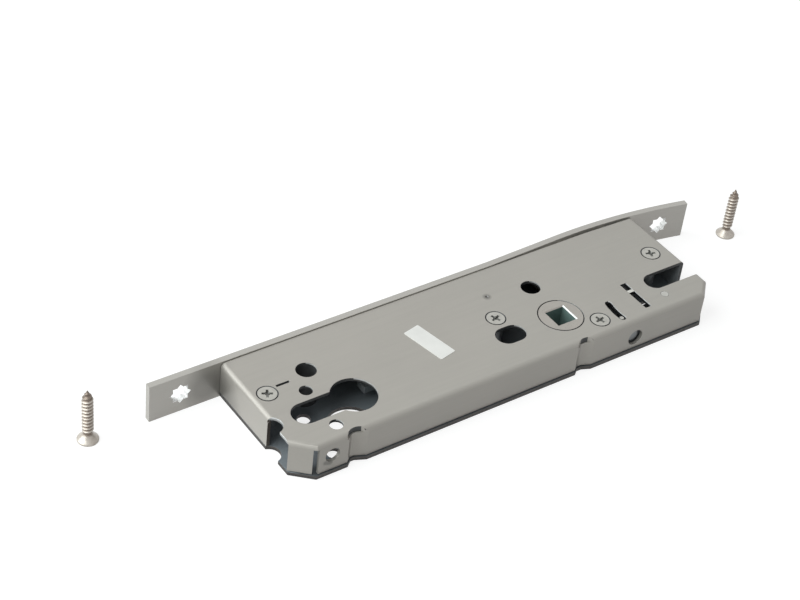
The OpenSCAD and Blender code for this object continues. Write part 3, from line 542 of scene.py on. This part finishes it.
def top_face(face):
    """1 for a small part's end in the cover's outer face, 2 for the rest."""
    at_top = face.calc_center_median().z > PLATE_TOP - 0.5 * SHEET
    return 1 if at_top and face.normal.z > LEVEL else 2


def on_label_corner(edge):
    """Only the label's upright edges, its corners, are rounded."""
    return abs((edge.verts[0].co - edge.verts[1].co).normalized().z) > FACING


dress("case_tray", "zinc_plate", SHEET_EDGE, extra=TRAY_FINISHES, pick=tray_part, late=tray_ring)
dress("base_plate", "zinc_plate", SHEET_EDGE, extra=(BASE_EDGE, BASE_INNER), pick=base_part)
dress("forend", "forend_steel", STRIP_EDGE, extra=(STAR_WALL_LIGHT,), pick=forend_part)
dress("follower", "cast_zinc", FOLLOWER_EDGE, extra=(SQUARE_WALL, SQUARE_LIP_HIGHLIGHT, SHADE_STEEL),
      pick=follower_part, late=follower_part, join=False)
dress("case_screws", "bright_zinc", SCREW_EDGE, extra=(RECESS_SHADE, SCREW_RIM_SHADE), pick=screw_part,
      late=screw_part, edge_rule=on_screw_rim)
for name, slot, radius in (
        ("forend_screws", "bright_zinc", SMALL_EDGE), ("latch_bolt", "cast_zinc", BOLT_EDGE),
        ("deadbolt", "cast_zinc", BOLT_EDGE), ("deadbolt_tail", "inner_steel", SMALL_EDGE),
        ("latch_carriage", "inner_steel", SMALL_EDGE), ("lever_pin", "bright_zinc", SMALL_EDGE),
        ("latch_rod", "inner_steel", SMALL_EDGE), ("pillars", "inner_steel", SMALL_EDGE),
        ("guide_studs", "inner_steel", SMALL_EDGE), ("drive_pin", "bright_zinc", SMALL_EDGE),
        ("deadbolt_rivets", "inner_steel", SMALL_EDGE), ("rod_pin", "bright_zinc", SMALL_EDGE),
        ("spring_posts", "inner_steel", SMALL_EDGE)):
    dress(name, slot, radius)
# The sleeve and the lever take a dark finish all over, painted shade
for name, finish in (("plate_sleeve", SLEEVE_SHADE), ("swing_lever", SHADE_STEEL)):
    dress(name, "inner_steel", SMALL_EDGE, extra=(finish,), pick=lambda face: 1)
# The latch guide's and the rivet's sides take dark finishes, painted shade, and their tops lighter ones
dress("latch_guide", "inner_steel", SMALL_EDGE, extra=(TOP_FACE, SHADE_STEEL), pick=top_face)
dress("lever_pivot", "inner_steel", SMALL_EDGE, extra=(RIVET_HEAD, SLEEVE_SHADE), pick=top_face, late=top_face)
for name in ("follower_spring", "detent_spring"):
    dress(name, "spring_steel", SPRING_EDGE)
dress("label", "label", LABEL_CORNER, steps=5, edge_rule=on_label_corner)


def lathe_faces(rings, count):
    """Faces between rings of equal count, each ring's points following one another."""
    faces = []
    for i in range(rings - 1):
        for k in range(count):
            a, b = i * count + k, i * count + (k + 1) % count
            faces.append((a, b, b + count, a + count))
    return faces


def angles(count):
    return [2 * math.pi * k / count for k in range(count)]


def screw_steel(name, axis, core_r):
    """A plated wood screw, tan and darker between its threads, painted shade, and bright on their crests."""
    f = Finish(name, 0.45)
    flat = f.new("ShaderNodeVectorMath", operation="MULTIPLY")
    flat.inputs[1].default_value = (1, 1, 0)
    f.link(f.coords, flat.inputs[0])
    away = f.new("ShaderNodeVectorMath", operation="DISTANCE")
    away.inputs[1].default_value = (axis[0], axis[1], 0)
    f.link(flat.outputs[0], away.inputs[0])
    crest = f.span(away.outputs["Value"], (core_r + 0.05) * MM, (core_r + 0.45) * MM, 0.0, 1.0)
    dull = f.noise(420, 3.0, 0.6)
    # Painted shade: darker between the threads than on their crests
    base = f.mix(crest, linear(128, 115, 104), linear(200, 193, 184))
    base = f.mix(f.span(dull, 0.4, 0.7, 0.0, 0.4), base, linear(150, 136, 124))
    return f.finish(base, f.span(dull, 0.3, 0.7, 0.26, 0.4), f.bump(dull, 0.01 * MM, 0.4))


# Wood screw, in mm: its shank's core, its thread, its tip and its head's rim
CORE_R = 1.5
THREAD_HEIGHT = 0.62
THREAD_PITCH = 1.5
TIP_LENGTH = 4.2
TIP_R = 0.06
HEAD_RIM = 0.7
CONE_HOLLOW = 0.22          # how far the head's cone is hollowed
CREST_SHARE = 0.3           # half the thread's foot, as a share of its pitch
CREST_POWER = 0.8           # below 1, the thread's flanks bulge
SCREW_SIDES = 40            # points round the screw
THREAD_STEP = 0.11          # between the rings of points along the shank
CONE_STEPS = 8


def head_profile(head_r, neck):
    """Heights and radii from the head's flat face, over its rim and down its hollow cone."""
    cone_low, cone_high, cone_r = HEAD_RIM + 0.06, neck + 0.25, head_r - 0.1
    profile = [(0.0, head_r - 0.22), (0.07, head_r - 0.07), (0.22, head_r), (HEAD_RIM - 0.1, head_r),
               (cone_low, cone_r)]
    for i in range(1, CONE_STEPS + 1):
        share = i / CONE_STEPS
        z = cone_low + (cone_high - cone_low) * share
        hollow = CONE_HOLLOW * math.sin(math.pi * share)
        profile.append((z, cone_r + (CORE_R - cone_r) * share - hollow))
    return profile


def shank_rings(start, total, neck):
    """The shank's rings of points, from start up to the tip, with a helical thread."""
    def core(z):
        return min(CORE_R, TIP_R + CORE_R * (total - z) / TIP_LENGTH)

    def ridge(z, turn):
        phase = ((z - neck) / THREAD_PITCH - turn / (2 * math.pi)) % 1.0
        sharp = max(0.0, 1.0 - abs(phase - 0.5) / CREST_SHARE)
        fade_in = min(1.0, max(0.0, (z - neck - 0.5) / 1.2))
        fade_out = min(1.0, max(0.0, (total - 0.3 - z) / 2.2))
        return THREAD_HEIGHT * sharp ** CREST_POWER * fade_in * fade_out

    rings, z = [], start
    while z < total - 0.12:
        z += THREAD_STEP
        rings.append([(z, core(z) + ridge(z, t)) for t in angles(SCREW_SIDES)])
    return rings


def cross_recess(start):
    """Points and faces of the head's cross recess, whose first point has the number start."""
    arm, half, depth, shoulder, taper = 0.5, 2.1, 1.7, 0.6, 0.75
    outline = []
    for q in range(4):
        c, s = math.cos(q * math.pi / 2), math.sin(q * math.pi / 2)
        for x, y in ((half, -arm), (half, arm), (arm, arm)):
            outline.append((x * c - y * s, x * s + y * c))
    points = [(x, y, 0.0) for x, y in outline]
    points += [(x * taper, y * taper, depth * shoulder) for x, y in outline]
    points.append((0, 0, depth))
    faces, n = [], len(outline)
    for k in range(n):
        a, b = start + k, start + (k + 1) % n
        faces.append((a, a + n, b + n, b))
        faces.append((a + n, start + 2 * n, b + n))
    return points, faces, n


def wood_screw(name, node):
    """A countersunk wood screw, standing on its head inside its CAD solid."""
    low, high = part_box(node)
    centre = (low + high) / 2
    total = (high.z - low.z) / MM
    head_r = (high.x - low.x) / 2 / MM
    neck = HEAD_RIM + head_r - CORE_R
    profile = head_profile(head_r, neck)
    rings = [[(z, r)] * SCREW_SIDES for z, r in profile] + shank_rings(profile[-1][0], total, neck)
    points = [(r * math.cos(t), r * math.sin(t), z)
              for ring in rings for (z, r), t in zip(ring, angles(SCREW_SIDES))]
    faces = lathe_faces(len(rings), SCREW_SIDES)
    last = (len(rings) - 1) * SCREW_SIDES
    faces += [(last + k, last + (k + 1) % SCREW_SIDES, len(points)) for k in range(SCREW_SIDES)]
    points.append((0, 0, total))
    start = len(points)
    recess_points, recess_faces, n = cross_recess(start)
    mesh = bpy.data.meshes.new(name)
    mesh.from_pydata([(x * MM, y * MM, z * MM) for x, y, z in points + recess_points], [],
                     faces + recess_faces)
    shape = bmesh.new()
    shape.from_mesh(mesh)
    shape.verts.ensure_lookup_table()

    def loop(first, count):
        """The edges of a closed loop of points that follow one another."""
        ends = [(first + k, first + (k + 1) % count) for k in range(count)]
        return [shape.edges.get((shape.verts[a], shape.verts[b])) for a, b in ends]

    bmesh.ops.triangle_fill(shape, use_beauty=True, use_dissolve=False,
                            edges=loop(0, SCREW_SIDES) + loop(start, n))
    bmesh.ops.recalc_face_normals(shape, faces=shape.faces)
    shape.to_mesh(mesh)
    shape.free()
    mesh.transform(Matrix.Translation((centre.x, centre.y, low.z)))
    soft_shade(mesh, TURNED_SMOOTH)
    mesh.materials.append(screw_steel(name + "_steel", (centre.x, centre.y), CORE_R))
    new_piece(name, mesh, frame["nodes"][node]["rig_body"], "bright_zinc", node)


wood_screw("loose_screw_left", "fixing_screw_left")
wood_screw("loose_screw_right", "fixing_screw_right")


def wound_spring(name, node):
    """The latch spring as a round wire, with a flat last turn at either end."""
    low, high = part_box(node)
    wire, turns, sides, steps, looseness = 0.35 * MM, 7, 12, 40, 1.02
    centre_x, centre_z = (low.x + high.x) / 2, (low.z + high.z) / 2
    radius = (high.x - low.x) / 2 - wire
    start, end = low.y + wire, high.y - wire
    flat = 2 * wire * looseness
    rise = (end - start - 2 * flat) / (turns - 2)

    def along(turn):
        if turn < 1:
            return start + flat * turn
        if turn > turns - 1:
            return end - flat * (turns - turn)
        return start + flat + rise * (turn - 1)

    points = []
    total = turns * steps
    side = Vector((0, 1, 0))
    for i in range(total + 1):
        angle = 2 * math.pi * i / steps
        out = Vector((math.cos(angle), 0, math.sin(angle)))
        middle = Vector((centre_x, along(i / steps), centre_z)) + radius * out
        points += [middle + wire * (math.cos(a) * out + math.sin(a) * side) for a in angles(sides)]
    faces = lathe_faces(total + 1, sides)
    faces.append(tuple(reversed(range(sides))))
    faces.append(tuple(range(total * sides, (total + 1) * sides)))
    mesh = bpy.data.meshes.new(name)
    mesh.from_pydata(points, [], faces)
    shape = bmesh.new()
    shape.from_mesh(mesh)
    bmesh.ops.recalc_face_normals(shape, faces=shape.faces)
    shape.to_mesh(mesh)
    shape.free()
    soft_shade(mesh, TURNED_SMOOTH)
    piece = new_piece(name, mesh, frame["nodes"][node]["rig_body"], "spring_steel", node)
    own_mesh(piece)


wound_spring("latch_spring_wire", "latch_spring")


# Studio: white floor and surroundings, with a plain soft light
def seen_directly(tree):
    """1 for camera, glossy and transmission rays, which show the white surroundings."""
    path = tree.nodes.new("ShaderNodeLightPath")
    value = path.outputs["Is Camera Ray"]
    for other in ("Is Glossy Ray", "Is Transmission Ray"):
        most = tree.nodes.new("ShaderNodeMath")
        most.operation = "MAXIMUM"
        tree.links.new(value, most.inputs[0])
        tree.links.new(path.outputs[other], most.inputs[1])
        value = most.outputs["Value"]
    return value


def scaled(tree, value, low, high):
    span = tree.nodes.new("ShaderNodeMapRange")
    span.inputs["To Min"].default_value = low
    span.inputs["To Max"].default_value = high
    tree.links.new(value, span.inputs["Value"])
    return span.outputs["Result"]


world = bpy.data.worlds.new("studio")
bpy.context.scene.world = world
world.use_nodes = True
back = world.node_tree.nodes["Background"]
back.inputs["Color"].default_value = (1, 1, 1, 1)
FILL_LIGHT = 0.27           # what the white surroundings light the part with
world.node_tree.links.new(scaled(world.node_tree, seen_directly(world.node_tree), FILL_LIGHT, 1.0),
                          back.inputs["Strength"])

FLOOR_REACH = 4             # metres from the origin to the floor's edges
FLOOR_GREY = 0.32           # the floor's own tone
FLOOR_GLOW = 0.82           # what makes it look white where it is seen directly
floor_mesh = bpy.data.meshes.new("floor")
corners = [(x * FLOOR_REACH, y * FLOOR_REACH, CAD_BOX[0].z) for x, y in ((-1, -1), (1, -1), (1, 1), (-1, 1))]
floor_mesh.from_pydata(corners, [], [(0, 1, 2, 3)])
floor = bpy.data.objects.new("floor", floor_mesh)
bpy.context.scene.collection.objects.link(floor)
paint = bpy.data.materials.new("pale_floor")
paint.use_nodes = True
tree = paint.node_tree
for node in list(tree.nodes):
    tree.nodes.remove(node)
matt = tree.nodes.new("ShaderNodeBsdfDiffuse")
matt.inputs["Color"].default_value = (FLOOR_GREY, FLOOR_GREY, FLOOR_GREY, 1)
glow = tree.nodes.new("ShaderNodeEmission")
tree.links.new(scaled(tree, seen_directly(tree), 0.0, FLOOR_GLOW), glow.inputs["Strength"])
both = tree.nodes.new("ShaderNodeAddShader")
tree.links.new(matt.outputs["BSDF"], both.inputs[0])
tree.links.new(glow.outputs["Emission"], both.inputs[1])
out = tree.nodes.new("ShaderNodeOutputMaterial")
tree.links.new(both.outputs["Shader"], out.inputs["Surface"])
floor_mesh.materials.append(paint)

# One large softbox, from the photo's left and above: metres, and watts
LAMP_AIM = Vector((55 * MM, 10 * MM, 7 * MM))
LAMP_WAY = Vector((-0.78, 0.2, 0.63)).normalized()
LAMP_DISTANCE = 1.3
LAMP_SIZE = 1.5
LAMP_POWER = 22.5
COOL_WHITE = (0.95, 1.0, 1.0)
softbox = bpy.data.lights.new("key_left", "AREA")
softbox.shape = "SQUARE"
softbox.size = LAMP_SIZE
softbox.energy = LAMP_POWER
softbox.color = COOL_WHITE
lamp = bpy.data.objects.new("key_left", softbox)
lamp.location = LAMP_AIM + LAMP_DISTANCE * LAMP_WAY
lamp.rotation_euler = LAMP_WAY.to_track_quat("Z", "Y").to_euler()
bpy.context.scene.collection.objects.link(lamp)

# Camera at the photograph's view, as it was solved from the photo's edges
CAMERA_AT = Vector((-299.432, -393.840, 458.068)) * MM
FOCAL_LENGTH = 85.8474
right_way = Vector((0.82243958, -0.56118211, 0.09310084))
up_way = Vector((0.29556439, 0.56139955, 0.77296328))
back_way = -Vector((0.48603994, 0.60819831, -0.62758266))
lens = bpy.data.cameras.new("camera")
lens.lens = FOCAL_LENGTH
lens.sensor_width = 36
lens.sensor_fit = "HORIZONTAL"
camera = bpy.data.objects.new("camera", lens)
turn = Matrix((right_way, up_way, back_way)).transposed().to_4x4()
camera.matrix_world = Matrix.Translation(CAMERA_AT) @ turn
bpy.context.scene.collection.objects.link(camera)
bpy.context.scene.camera = camera
bpy.context.scene.view_settings.view_transform = "Standard"

bpy.context.view_layer.update()
